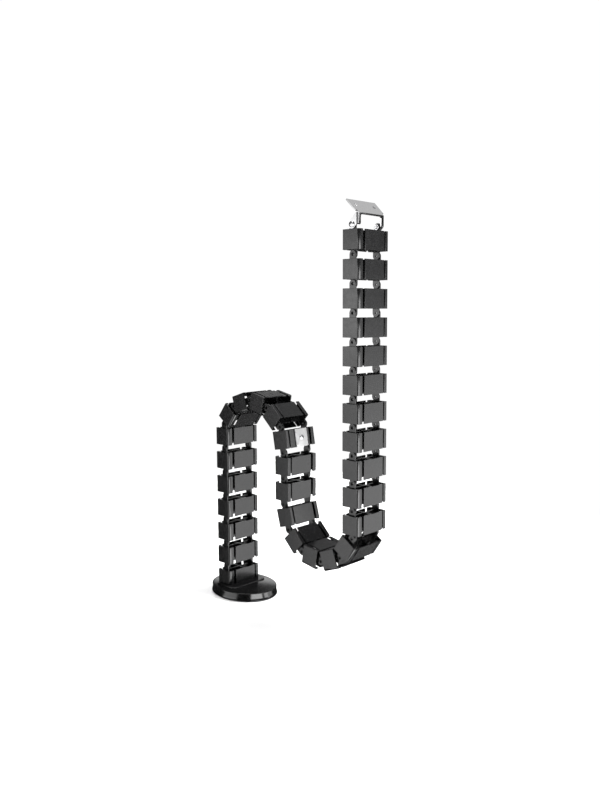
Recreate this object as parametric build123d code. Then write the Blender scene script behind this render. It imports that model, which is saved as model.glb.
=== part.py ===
from build123d import *
from math import cos, radians, sin
import os

# Cable spine for a desk, in millimetres.
# A chain of hollow links stands on a weighted oval foot, folds over in an arch, comes down,
# turns up again and ends in a folded steel bracket that is screwed under the desk top.
# X is the way the chain bends, Y runs along the hinge pins and Z is up.
# The origin is the middle of the foot's underside, on the floor.

# Chain: each value in BENDS turns one link away from the link before it, in degrees about Y.
PITCH = 42.0
COLUMN_BENDS = [0] * 7
FOLD_BENDS = [38, 34, 30, 31, 37, 10, 0, -15, -30, -35, -30, -35, -35]
LAST_BENDS = [0] * 10
BENDS = COLUMN_BENDS + FOLD_BENDS + LAST_BENDS
FOOT_NODE = "link_01"
PLATE_NODE = "link_12"

# Link: a tube with two flat panels, two end walls and a cross inside that makes four channels.
LINK_WIDTH = 66.0
LINK_DEPTH = 31.4
LINK_HEIGHT = 29.1
LINK_CORNER = 3.0
WALL = 1.8
WEB = 1.4
SLOT = 4.4
NEAR_STRIP = 8.4
FAR_STRIP = 4.2

# Hinges: the lugs at the upper end stand outside the lugs of the next link, which carry the pins.
LUG_SETBACK = 4.0
LUG_THICK = 2.2
LUG_RADIUS = 6.0
LUG_ROOT = 9.0
LUG_GAP = 0.2
PIN_RADIUS = 2.5
PIN_PLAY = 0.06
PIN_RECESS = 0.7
PIN_BORE = 1.3

# Foot: a plastic cover over a steel weight on a soft pad.
FOOT_LENGTH = 130.0
FOOT_WIDTH = 102.0
COVER_WALL = 2.4
RIM_HEIGHT = 0.8
WAIST = 2.2
BAND_TOP = 13.5
DOME_EDGE = 15.4
LIP_WIDTH = 1.6
LIP_SWELL = 0.1
DOME_TOP = 17.0
DOME_DROP = 0.45
DOME_SHARE = 0.6
SEAT_TOP = 18.0
SEAT_LENGTH = 50.0
SEAT_WIDTH = 76.0
SEAT_CORNER = 9.0
SEAT_ROUND = 0.8
SEAT_BACK = 3.2
PAD_THICK = 1.5
PAD_INSET = 1.5
WEIGHT_THICK = 12.4
WEIGHT_PLAY = 0.3
WEIGHT_CHAMFER = 1.0
CHAIN_BACK = 15.0
HINGE_HEIGHT = 6.7

# Fasteners of the foot
SCREW_RADIUS = 1.9
SCREW_HEAD_RADIUS = 3.7
SCREW_HEAD = 2.4
SCREW_PLAY = 0.3
BOSS_RADIUS = 3.6
BOSS_CAP = 2.0
LINK_SCREW_IN = 5.0
LINK_SCREW_BITE = 11.0
LINK_TIP_PLAY = 0.5
WEIGHT_SCREW_INSET = 21.0
WEIGHT_SCREWS_SHARE = 1 / 3
WEIGHT_TIP_PLAY = 0.6
WEIGHT_BOSS_DEPTH = 6.0

# Bracket: one folded sheet, with a plate at 45 degrees, a short web and two arms.
SHEET = 1.8
ARM_PLAY = 0.2
ARM_RADIUS = 6.4
ARM_LIFT = 0.3
ARM_FRONT = 10.5
ARM_LOW = 1.4
FOLD_RADIUS = 3.0
WEB_LOW = 14.2
WINDOW_SIDE = 6.0
PLATE_TILT = 45.0
PLATE_INSET = 0.5
PLATE_LENGTH = 24.0
PLATE_CORNER = 2.0
FOLD_HEIGHT = 16.6
NECK = 4.3
PLATE_HOLE_RADIUS = 2.5
PLATE_HOLE_EDGE = 12.0

# Pivot bolts of the bracket
BOLT_HEAD_RADIUS = 4.4
BOLT_HEAD = 2.6
NUT_ACROSS = 8.0
NUT_THICK = 2.4
BOLT_TIP = 1.2

# Steel plate that is screwed to one link, to hang the chain's middle from a hook or a cable tie
CLIP_WIDTH = 26.5
CLIP_THICK = 1.8
CLIP_CORNER = 1.0
CLIP_SCREW_RADIUS = 1.9
CLIP_HEAD_RADIUS = 4.2
CLIP_HEAD = 1.8
CLIP_BOSS_RADIUS = 3.7
CLIP_BOSS_DEPTH = 9.0
CLIP_TIP_PLAY = 1.0

# Sizes that follow from those above
LINK_LOW = (PITCH - LINK_HEIGHT) / 2
LINK_TOP = LINK_LOW + LINK_HEIGHT
OUTER_LUG_FACE = LINK_WIDTH / 2 - LUG_SETBACK
OUTER_LUG_MID = OUTER_LUG_FACE - LUG_THICK / 2
INNER_LUG_MID = OUTER_LUG_MID - LUG_THICK - LUG_GAP
INNER_LUG_FACE = INNER_LUG_MID + LUG_THICK / 2
PIN_LENGTH = OUTER_LUG_FACE - PIN_RECESS - INNER_LUG_FACE
HOLE_RADIUS = PIN_RADIUS + PIN_PLAY
CEILING = PAD_THICK + WEIGHT_THICK
CAVITY_LENGTH = FOOT_LENGTH - 2 * (WAIST + COVER_WALL)
CAVITY_WIDTH = FOOT_WIDTH - 2 * (WAIST + COVER_WALL)
SEAT_MID = -CHAIN_BACK - LINK_DEPTH / 2 - SEAT_BACK + SEAT_LENGTH / 2
WEIGHT_SCREW_FRONT = FOOT_LENGTH / 2 - WEIGHT_SCREW_INSET
WEIGHT_SCREW_SIDE = FOOT_WIDTH * WEIGHT_SCREWS_SHARE / 2
FOOT_LINK_LOW = SEAT_TOP - HINGE_HEIGHT
LINK_SCREW_SIDE = LINK_WIDTH / 2 - LINK_SCREW_IN
ARM_INNER = OUTER_LUG_FACE + ARM_PLAY
ARM_OUTER = ARM_INNER + SHEET
PLATE_WIDTH = LINK_WIDTH - 2 * PLATE_INSET
PLATE_HOLE_SPACING = PLATE_WIDTH - 2 * PLATE_HOLE_EDGE


def along_y(radius, low, high, x=0.0, z=0.0):
    """A round bar along the hinge line, from low to high in Y."""
    return Pos(x, (low + high) / 2, z) * Rot(90, 0, 0) * Cylinder(radius, high - low)


def upright(radius, low, high, x=0.0, y=0.0):
    """An upright round bar from low to high in Z."""
    return Pos(x, y, (low + high) / 2) * Cylinder(radius, high - low)


def oval(length, width, low, high):
    """An upright oval disc."""
    return Pos(0, 0, low) * extrude(Ellipse(length / 2, width / 2), high - low)


def link_section():
    """The link's cross-section, with an entry slot beside each corner.

    Turned half round about its own middle, the section looks the same.
    """
    skin = RectangleRounded(LINK_DEPTH, LINK_WIDTH, LINK_CORNER)
    skin -= RectangleRounded(LINK_DEPTH - 2 * WALL, LINK_WIDTH - 2 * WALL, LINK_CORNER - WALL)
    near = -LINK_WIDTH / 2 + NEAR_STRIP + SLOT / 2
    far = LINK_WIDTH / 2 - FAR_STRIP - SLOT / 2
    panel = LINK_DEPTH / 2 - WALL / 2
    for side in (1, -1):
        for place in (near, far):
            skin -= Pos(side * panel, side * place) * Rectangle(2 * WALL, SLOT)
    web = Rectangle(WEB, LINK_WIDTH - WALL)
    stem = Rectangle(LINK_DEPTH - WALL, WEB)
    return skin + web + stem


def lug(middle, pivot, root):
    """A flat lug with a round end about its pivot, carried down to its root."""
    face = Pos(0, pivot) * Circle(LUG_RADIUS)
    face += Pos(0, (pivot + root) / 2) * Rectangle(2 * LUG_RADIUS, abs(pivot - root))
    return Pos(0, middle, 0) * extrude(Plane.XZ * face, LUG_THICK / 2, both=True)


def link_tube(low):
    """The link's walls and its two upper lugs with their pin holes."""
    tube = Pos(0, 0, low) * extrude(link_section(), LINK_TOP - low)
    for side in (1, -1):
        tube += lug(side * OUTER_LUG_MID, PITCH, LINK_TOP - LUG_ROOT)
    tube -= along_y(HOLE_RADIUS, -LINK_WIDTH / 2, LINK_WIDTH / 2, z=PITCH)
    return tube


def middle_link():
    """A link of the chain, with the pins on its two lower lugs."""
    shape = link_tube(LINK_LOW)
    for side in (1, -1):
        shape += lug(side * INNER_LUG_MID, 0, LINK_LOW + LUG_ROOT)
        ends = sorted((side * INNER_LUG_FACE, side * (INNER_LUG_FACE + PIN_LENGTH)))
        shape += along_y(PIN_RADIUS, *ends)
    shape -= along_y(PIN_BORE, -LINK_WIDTH / 2, LINK_WIDTH / 2)
    return shape


def foot_link():
    """The lowest link, which stands on the foot and takes the foot's two screws."""
    shape = link_tube(FOOT_LINK_LOW)
    for side in (1, -1):
        y = side * LINK_SCREW_SIDE
        hole_top = FOOT_LINK_LOW + LINK_SCREW_BITE
        shape += upright(BOSS_RADIUS, FOOT_LINK_LOW, hole_top + BOSS_CAP, y=y)
        shape -= upright(SCREW_RADIUS, FOOT_LINK_LOW, hole_top, y=y)
    return shape


def plate_link():
    """The link that carries the steel plate, with a boss behind one panel for the plate's screw."""
    inward = Pos(-LINK_DEPTH / 2, 0, PITCH / 2) * Rot(0, 90, 0)
    boss = Pos(0, 0, WALL / 2) * extrude(Circle(CLIP_BOSS_RADIUS), CLIP_BOSS_DEPTH - WALL / 2)
    hole = extrude(Circle(CLIP_SCREW_RADIUS), CLIP_BOSS_DEPTH - WALL)
    return middle_link() + inward * boss - inward * hole


def chain_places():
    """The place of each link's lower hinge with the link's turn, by node name, and the bracket's hinge."""
    places = {}
    x, z, turn = -CHAIN_BACK, HINGE_HEIGHT, 0
    for number, bend in enumerate(BENDS, 1):
        turn += bend
        places[f"link_{number:02d}"] = Pos(x, 0, z) * Rot(0, turn, 0)
        x += PITCH * sin(radians(turn))
        z += PITCH * cos(radians(turn))
    return places, Pos(x, 0, z)


def chain_links(places):
    """Every link of the chain in its place, by node name."""
    plain = middle_link()
    kinds = {FOOT_NODE: foot_link(), PLATE_NODE: plate_link()}
    return {name: place * kinds.get(name, plain) for name, place in places.items()}


def clip_nodes(place):
    """The steel plate on its link and the pan-head screw in the plate's middle."""
    outward = Pos(-LINK_DEPTH / 2, 0, PITCH / 2) * Rot(0, -90, 0)
    plate = extrude(RectangleRounded(LINK_HEIGHT, CLIP_WIDTH, CLIP_CORNER), CLIP_THICK)
    plate -= Cylinder(CLIP_SCREW_RADIUS, 4 * CLIP_THICK)
    head = extrude(Circle(CLIP_HEAD_RADIUS), CLIP_HEAD)
    head = fillet(head.edges().sort_by(Axis.Z)[-1], CLIP_HEAD * 0.6)
    reach = CLIP_BOSS_DEPTH - WALL - CLIP_TIP_PLAY
    shank = Pos(0, 0, -reach) * extrude(Circle(CLIP_SCREW_RADIUS), reach + CLIP_THICK)
    screw = Pos(0, 0, CLIP_THICK) * head + shank
    return {"link_plate": place * outward * plate, "link_plate_screw": place * outward * screw}


def base_cover():
    """The foot's moulded cover, with a hollow band round it, a low dome and a seat for the chain."""
    rim = FOOT_LENGTH / 2
    shoulder = rim - WAIST / 2
    low = PAD_THICK + RIM_HEIGHT
    side = Polyline((0, PAD_THICK), (rim, PAD_THICK), (rim, low))
    band = ThreePointArc((rim, low), (rim - WAIST, (low + BAND_TOP) / 2), (shoulder, BAND_TOP))
    lip_end = (shoulder - LIP_WIDTH, DOME_EDGE)
    lip_mid = (shoulder - LIP_SWELL, (BAND_TOP + DOME_EDGE) / 2)
    lip = ThreePointArc((shoulder, BAND_TOP), lip_mid, lip_end)
    dome = ThreePointArc(lip_end, (rim * DOME_SHARE, DOME_TOP - DOME_DROP), (0, DOME_TOP))
    profile = make_face(side + band + lip + dome + Line((0, DOME_TOP), (0, PAD_THICK)))
    cover = scale(revolve(Plane.XZ * profile, Axis.Z), by=(1, FOOT_WIDTH / FOOT_LENGTH, 1))
    seat = extrude(RectangleRounded(SEAT_LENGTH, SEAT_WIDTH, SEAT_CORNER), SEAT_TOP - CEILING)
    seat = Pos(SEAT_MID, 0, CEILING) * seat
    seat = fillet(seat.edges().group_by(Axis.Z)[-1], SEAT_ROUND)
    cover += seat
    cover -= oval(CAVITY_LENGTH, CAVITY_WIDTH, 0, CEILING)
    for side_sign in (1, -1):
        y = side_sign * WEIGHT_SCREW_SIDE
        cover += upright(BOSS_RADIUS, CEILING - WEIGHT_BOSS_DEPTH, CEILING, WEIGHT_SCREW_FRONT, y)
        cover -= upright(SCREW_RADIUS, 0, CEILING + WEIGHT_TIP_PLAY, WEIGHT_SCREW_FRONT, y)
        cover -= upright(SCREW_RADIUS + SCREW_PLAY, 0, SEAT_TOP, -CHAIN_BACK, side_sign * LINK_SCREW_SIDE)
    return cover


def base_weight():
    """The steel weight, drilled for the screws, with their heads sunk in its underside."""
    weight = oval(CAVITY_LENGTH - 2 * WEIGHT_PLAY, CAVITY_WIDTH - 2 * WEIGHT_PLAY, PAD_THICK, CEILING)
    weight = chamfer(weight.edges().group_by(Axis.Z)[-1], WEIGHT_CHAMFER)
    head = SCREW_HEAD_RADIUS + SCREW_PLAY
    for side in (1, -1):
        y = side * WEIGHT_SCREW_SIDE
        boss = upright(BOSS_RADIUS + SCREW_PLAY, CEILING - WEIGHT_BOSS_DEPTH, CEILING, WEIGHT_SCREW_FRONT, y)
        weight -= boss
        for x, place in ((WEIGHT_SCREW_FRONT, y), (-CHAIN_BACK, side * LINK_SCREW_SIDE)):
            weight -= upright(SCREW_RADIUS + SCREW_PLAY, PAD_THICK, CEILING, x, place)
            weight -= upright(head, PAD_THICK, PAD_THICK + SCREW_HEAD, x, place)
    return weight


def foot_screw(x, y, tip):
    """A pan-head screw from the weight's underside up to its tip."""
    return upright(SCREW_HEAD_RADIUS, PAD_THICK, PAD_THICK + SCREW_HEAD, x, y) + upright(
        SCREW_RADIUS, PAD_THICK, tip, x, y)


def foot_nodes():
    """The cover, the weight, the pad and the two pairs of screws."""
    link_screws = []
    weight_screws = []
    for side in (1, -1):
        tip = SEAT_TOP + LINK_SCREW_BITE - LINK_TIP_PLAY
        link_screws.append(foot_screw(-CHAIN_BACK, side * LINK_SCREW_SIDE, tip))
        weight_screws.append(foot_screw(WEIGHT_SCREW_FRONT, side * WEIGHT_SCREW_SIDE, CEILING))
    return {
        "base_cover": base_cover(),
        "base_weight": base_weight(),
        "base_pad": oval(FOOT_LENGTH - 2 * PAD_INSET, FOOT_WIDTH - 2 * PAD_INSET, 0, PAD_THICK),
        "base_link_screws": Compound(link_screws),
        "base_weight_screws": Compound(weight_screws),
    }


def bracket():
    """The folded bracket about its hinge: arms and web from one channel, and the plate on its fold."""
    reach = ARM_FRONT + ARM_RADIUS
    outer = Pos(ARM_FRONT - reach, 0) * Rectangle(2 * reach, 2 * ARM_OUTER)
    outer = fillet(outer.vertices().group_by(Axis.X)[-1], FOLD_RADIUS)
    inner = Pos(ARM_FRONT - SHEET - reach, 0) * Rectangle(2 * reach, 2 * ARM_INNER)
    inner = fillet(inner.vertices().group_by(Axis.X)[-1], FOLD_RADIUS - SHEET)
    channel = Pos(0, 0, -ARM_RADIUS) * extrude(outer - inner, FOLD_HEIGHT + ARM_RADIUS)
    slope = ARM_RADIUS * sin(radians(45))
    outline = Polyline(
        (ARM_FRONT, FOLD_HEIGHT),
        (ARM_FRONT, ARM_LOW),
        (slope, ARM_LIFT - slope),
        (-slope, ARM_LIFT + slope),
        (FOLD_HEIGHT - ARM_LIFT - 2 * slope, FOLD_HEIGHT),
        close=True,
    )
    shape = make_face(outline) + Pos(0, ARM_LIFT) * Circle(ARM_RADIUS)
    channel &= extrude(Plane.XZ * shape, 2 * ARM_OUTER, both=True)
    window = Rectangle(2 * (ARM_INNER - WINDOW_SIDE), 2 * WEB_LOW)
    window = fillet(window.vertices().group_by(Axis.Y)[-1], FOLD_RADIUS)
    channel -= Pos(ARM_FRONT, 0, 0) * extrude(Plane.YZ * window, 2 * SHEET, both=True)
    channel -= along_y(HOLE_RADIUS, -2 * ARM_OUTER, 2 * ARM_OUTER)
    normal = (sin(radians(PLATE_TILT)), 0, cos(radians(PLATE_TILT)))
    plate_plane = Plane((ARM_FRONT, 0, FOLD_HEIGHT), x_dir=(0, 1, 0), z_dir=normal)
    neck = Pos(0, NECK / 2) * Rectangle(2 * ARM_OUTER - 2 * FOLD_RADIUS, NECK)
    plate = Pos(0, NECK + PLATE_LENGTH / 2) * RectangleRounded(PLATE_WIDTH, PLATE_LENGTH, PLATE_CORNER)
    for side in (1, -1):
        plate -= Pos(side * PLATE_HOLE_SPACING / 2, NECK + PLATE_LENGTH / 2) * Circle(PLATE_HOLE_RADIUS)
    return channel + extrude(plate_plane * (neck + plate), -SHEET)


def bracket_bolts():
    """The two pivot bolts, headed outside the arms and running through arm and lug."""
    bolts = []
    for side in (1, -1):
        tip = OUTER_LUG_FACE - LUG_THICK - NUT_THICK - BOLT_TIP
        shank = along_y(PIN_RADIUS, *sorted((side * tip, side * ARM_OUTER)))
        head = along_y(BOLT_HEAD_RADIUS, *sorted((side * ARM_OUTER, side * (ARM_OUTER + BOLT_HEAD))))
        edge = head.edges().sort_by(Axis.Y)[-1 if side > 0 else 0]
        bolts.append(shank + fillet(edge, BOLT_HEAD * 0.5))
    return Compound(bolts)


def bracket_nuts():
    """The two lock nuts inside the top link's lugs."""
    nuts = []
    for side in (1, -1):
        low = side * (OUTER_LUG_FACE - LUG_THICK - NUT_THICK / 2)
        nut = extrude(RegularPolygon(NUT_ACROSS / 2, 6, major_radius=False), NUT_THICK / 2, both=True)
        nut = Pos(0, low, 0) * Rot(90, 0, 0) * nut
        nuts.append(nut - along_y(PIN_RADIUS, low - NUT_THICK, low + NUT_THICK))
    return Compound(nuts)


def all_nodes():
    """Every node of the spine by name, in its place at rest."""
    places, top = chain_places()
    nodes = foot_nodes()
    nodes.update(chain_links(places))
    nodes.update(clip_nodes(places[PLATE_NODE]))
    nodes["bracket"] = top * bracket()
    nodes["bracket_bolts"] = top * bracket_bolts()
    nodes["bracket_nuts"] = top * bracket_nuts()
    return nodes


os.makedirs("parts", exist_ok=True)
for name, shape in all_nodes().items():
    export_step(shape, f"parts/{name}.step")
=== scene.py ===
"""Looks of a jointed cable spine: hollow links on a weighted foot, ending in a steel bracket.

Every length is in metres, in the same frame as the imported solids: the origin is the middle of
the foot's underside, X is the way the chain folds over, Y runs along the hinges and Z is up.
"""

from __future__ import annotations

import logging
import math
from dataclasses import dataclass, field
from enum import Enum
from typing import Callable, Iterable, Sequence

import bmesh
import bpy
from mathutils import Matrix, Vector

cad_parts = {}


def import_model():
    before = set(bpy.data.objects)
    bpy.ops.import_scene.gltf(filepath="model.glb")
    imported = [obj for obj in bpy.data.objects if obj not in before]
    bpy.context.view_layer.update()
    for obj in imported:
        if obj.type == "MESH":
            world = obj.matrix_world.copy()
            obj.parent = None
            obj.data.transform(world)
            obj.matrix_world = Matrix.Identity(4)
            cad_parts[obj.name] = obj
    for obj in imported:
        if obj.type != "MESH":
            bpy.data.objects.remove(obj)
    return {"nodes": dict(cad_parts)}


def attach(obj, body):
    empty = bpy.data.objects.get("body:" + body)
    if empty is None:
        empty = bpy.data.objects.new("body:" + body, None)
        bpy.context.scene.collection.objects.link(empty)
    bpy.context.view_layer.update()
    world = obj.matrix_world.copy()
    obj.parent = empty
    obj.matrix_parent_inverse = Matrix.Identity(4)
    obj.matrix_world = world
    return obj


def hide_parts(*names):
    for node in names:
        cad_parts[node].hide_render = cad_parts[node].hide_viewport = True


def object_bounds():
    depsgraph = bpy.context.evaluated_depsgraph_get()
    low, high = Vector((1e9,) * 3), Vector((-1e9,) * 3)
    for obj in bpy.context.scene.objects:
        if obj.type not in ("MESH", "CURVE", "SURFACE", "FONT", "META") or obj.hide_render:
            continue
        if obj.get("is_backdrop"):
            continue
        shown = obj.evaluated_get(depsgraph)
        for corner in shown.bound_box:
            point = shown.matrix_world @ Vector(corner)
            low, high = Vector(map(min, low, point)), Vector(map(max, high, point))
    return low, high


LOG = logging.getLogger("cable_spine")
MM = 0.001
CLEAR = 1 * MM  # how far a cutter reaches past the face that it cuts
SHARP_RIM = 0.01 * MM  # rim of a cutter or a filler, too small to be seen
Corner = tuple[float, float, float]
Ring = list[Vector]


class Side(Enum):
    """The two sides of the object along its hinge line."""

    NEAR = -1
    FAR = 1


class LinkKind(Enum):
    """How a link differs from the others of the chain."""

    PLAIN = "plain"
    FOOT = "foot"
    PLATE = "plate"


class Blend(Enum):
    """What becomes of two closed shapes that meet."""

    JOIN = "UNION"
    CUT = "DIFFERENCE"
    KEEP_SHARED = "INTERSECT"


# Outlines and meshes


def round_corners(corners: Sequence[Corner], steps: int = 4, straight: float = 89.0) -> Ring:
    """Rounds each corner of a closed outline that runs anticlockwise.

    Args:
        corners: x, y and radius of each corner, in metres.
        steps: straight pieces in each rounded corner.
        straight: half of a corner's angle from which it counts as straight, in degrees.

    Returns:
        The points of the rounded outline, in the outline's plane.
    """
    points: Ring = []
    count = len(corners)
    for index, (x, y, radius) in enumerate(corners):
        here = Vector((x, y))
        before = (Vector(corners[index - 1][:2]) - here).normalized()
        after = (Vector(corners[(index + 1) % count][:2]) - here).normalized()
        half = before.angle(after) / 2
        if radius <= 0 or half > math.radians(straight):
            points.append(here)
            continue
        centre = here + (before + after).normalized() * (radius / math.sin(half))
        start = here + before * (radius / math.tan(half)) - centre
        turn = math.pi - 2 * half
        if start.cross(here + after * (radius / math.tan(half)) - centre) < 0:
            turn = -turn
        for step in range(steps + 1):
            angle = turn * step / steps
            cosine, sine = math.cos(angle), math.sin(angle)
            across, along = start.x * cosine - start.y * sine, start.x * sine + start.y * cosine
            spoke = Vector((across, along))
            points.append(centre + spoke)
    return points


def shrink(outline: Ring, depth: float, sharpest: float = 0.4) -> Ring:
    """Moves every side of an anticlockwise outline inwards.

    Args:
        outline: the points of the closed outline.
        depth: how far each side moves, in metres.
        sharpest: keeps the point of a very sharp corner from running off.

    Returns:
        The same number of points, on the smaller outline.
    """
    moved: Ring = []
    count = len(outline)
    for index, here in enumerate(outline):
        first = (here - outline[index - 1]).normalized()
        second = (outline[(index + 1) % count] - here).normalized()
        one = Vector((-first.y, first.x))
        two = Vector((-second.y, second.x))
        moved.append(here + (one + two) * (depth / max(sharpest, 1 + one.dot(two))))
    return moved


def circle(radius: float, steps: int = 32, x: float = 0.0, y: float = 0.0) -> Ring:
    """The points of a circle, anticlockwise.

    Args:
        radius: radius in metres.
        steps: number of points.
        x: first coordinate of the centre.
        y: second coordinate of the centre.

    Returns:
        The points of the circle.
    """
    turns = (2 * math.pi * step / steps for step in range(steps))
    return [Vector((x + radius * math.cos(turn), y + radius * math.sin(turn))) for turn in turns]


class Form:
    """A closed shape that is being built in one mesh."""

    def __init__(self) -> None:
        """Starts an empty mesh."""
        self.mesh = bmesh.new()

    def slab(self, outline: Ring, low: float, high: float, rim: float, steps: int = 3,
             place: Matrix = Matrix.Identity(4)) -> None:
        """Adds a plate of any outline, with its two rims rounded.

        Args:
            outline: the plate's outline, anticlockwise.
            low: height of its lower face.
            high: height of its upper face.
            rim: radius of the rounded rims.
            steps: straight pieces in each rounded rim.
            place: where the plate's plane goes.
        """
        levels: list[tuple[float, float]] = []
        for step in range(steps + 1):
            angle = math.pi / 2 * step / steps
            levels.append((rim * (1 - math.sin(angle)), low + rim * (1 - math.cos(angle))))
        levels += [(depth, low + high - height) for depth, height in reversed(levels)]
        self.stack([[Vector((*point, height)) for point in shrink(outline, depth)]
                    for depth, height in levels], place)

    def sharp_slab(self, outline: Ring, low: float, high: float, place: Matrix) -> None:
        """Adds a plate of any outline with sharp rims, to cut or to fill with.

        Args:
            outline: the plate's outline, anticlockwise.
            low: height of its lower face.
            high: height of its upper face.
            place: where the plate's plane goes.
        """
        self.slab(outline, low, high, SHARP_RIM, 1, place)

    def panel(self, lower: Sequence[bmesh.types.BMVert], upper: Sequence[bmesh.types.BMVert],
              index: int, following: int) -> None:
        """Adds the four-sided face between two neighbouring points of two rows."""
        self.mesh.faces.new((lower[index], lower[following], upper[following], upper[index]))

    def stack(self, rings: Sequence[Ring], place: Matrix = Matrix.Identity(4)) -> None:
        """Adds a closed skin over rings of equal length, with a face at each end.

        Args:
            rings: the rings from the lowest to the highest, anticlockwise from above.
            place: where the rings go.
        """
        rows = [[self.mesh.verts.new(place @ point) for point in ring] for ring in rings]
        for lower, upper in zip(rows, rows[1:]):
            for index in range(len(lower)):
                following = (index + 1) % len(lower)
                self.panel(lower, upper, index, following)
        self.mesh.faces.new(list(reversed(rows[0])))
        self.mesh.faces.new(rows[-1])

    def turned(self, profile: Sequence[tuple[float, float]], steps: int = 32,
               place: Matrix = Matrix.Identity(4), stretch: float = 1.0) -> None:
        """Adds a turned shape whose profile starts and ends on its axis.

        Args:
            profile: radius and height of each point, from the lowest to the highest.
            steps: number of straight pieces round the axis.
            place: where the axis goes.
            stretch: the shape's size across, as a share of its length.
        """
        low, *between, high = profile
        bottom = self.mesh.verts.new(place @ Vector((0, 0, low[1])))
        top = self.mesh.verts.new(place @ Vector((0, 0, high[1])))
        rows = []
        for radius, height in between:
            ring = [Vector((p.x, p.y * stretch, height)) for p in circle(radius, steps)]
            rows.append([self.mesh.verts.new(place @ point) for point in ring])
        for index in range(steps):
            following = (index + 1) % steps
            self.mesh.faces.new((bottom, rows[0][following], rows[0][index]))
            for lower, upper in zip(rows, rows[1:]):
                self.panel(lower, upper, index, following)
            self.mesh.faces.new((rows[-1][index], rows[-1][following], top))

    def finish(self, name: str) -> bpy.types.Object:
        """Closes the mesh and makes an object of it.

        Args:
            name: name of the new object.

        Returns:
            The new object, at the origin.
        """
        data = bpy.data.meshes.new(name)
        bmesh.ops.recalc_face_normals(self.mesh, faces=self.mesh.faces)
        self.mesh.to_mesh(data)
        self.mesh.free()
        made = bpy.data.objects.new(name, data)
        bpy.context.scene.collection.objects.link(made)
        return made


def discard(item: bpy.types.Object) -> None:
    """Removes a helper object and its mesh.

    Args:
        item: the object to remove.
    """
    data = item.data
    bpy.data.objects.remove(item)
    if isinstance(data, bpy.types.Mesh) and data.users == 0:
        bpy.data.meshes.remove(data)


def settle(item: bpy.types.Object) -> bpy.types.Object:
    """Turns an object's modifiers into plain mesh.

    Args:
        item: an object with modifiers.

    Returns:
        The same object, without modifiers.
    """
    bpy.context.view_layer.update()
    graph = bpy.context.evaluated_depsgraph_get()
    result = bpy.data.meshes.new_from_object(item.evaluated_get(graph), depsgraph=graph)
    result.name = item.name
    item.modifiers.clear()
    item.data = result
    return item


def combine(base: bpy.types.Object, other: bpy.types.Object, way: Blend) -> None:
    """Joins another closed shape to the base, cuts it away or keeps what both share.

    Args:
        base: the shape that is kept, with a new mesh.
        other: the other shape, which is removed.
        way: what is made of the two.
    """
    step = base.modifiers.new("step", "BOOLEAN")
    step.operation = way.value
    step.solver = "EXACT"
    step.object = other
    settle(base)
    discard(other)


def soften(item: bpy.types.Object, broad: float = 1.2 * MM, crease: float = 35.0,
           bend: float = 6.0, weld: float = 0.002 * MM) -> None:
    """Shades rounded parts smooth, and keeps broad flat faces flat.

    Args:
        item: the object to shade.
        broad: faces at least this wide stay flat against a rounded edge.
        crease: edges that turn by more than this, in degrees, stay sharp.
        bend: edges of a broad face stay sharp from this turn on, in degrees.
        weld: points closer together than this become one.
    """
    work = bmesh.new()
    work.from_mesh(item.data)
    bmesh.ops.remove_doubles(work, verts=work.verts, dist=weld)
    wide = set()
    for face in work.faces:
        face.smooth = True
        if face.calc_area() / max(edge.calc_length() for edge in face.edges) > broad:
            wide.add(face)
    for edge in work.edges:
        turn = math.degrees(edge.calc_face_angle(0.0)) if len(edge.link_faces) == 2 else 180.0
        beside = any(face in wide for face in edge.link_faces)
        edge.smooth = turn < crease and not (beside and turn > bend)
    work.to_mesh(item.data)
    work.free()


# Finishes


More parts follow.
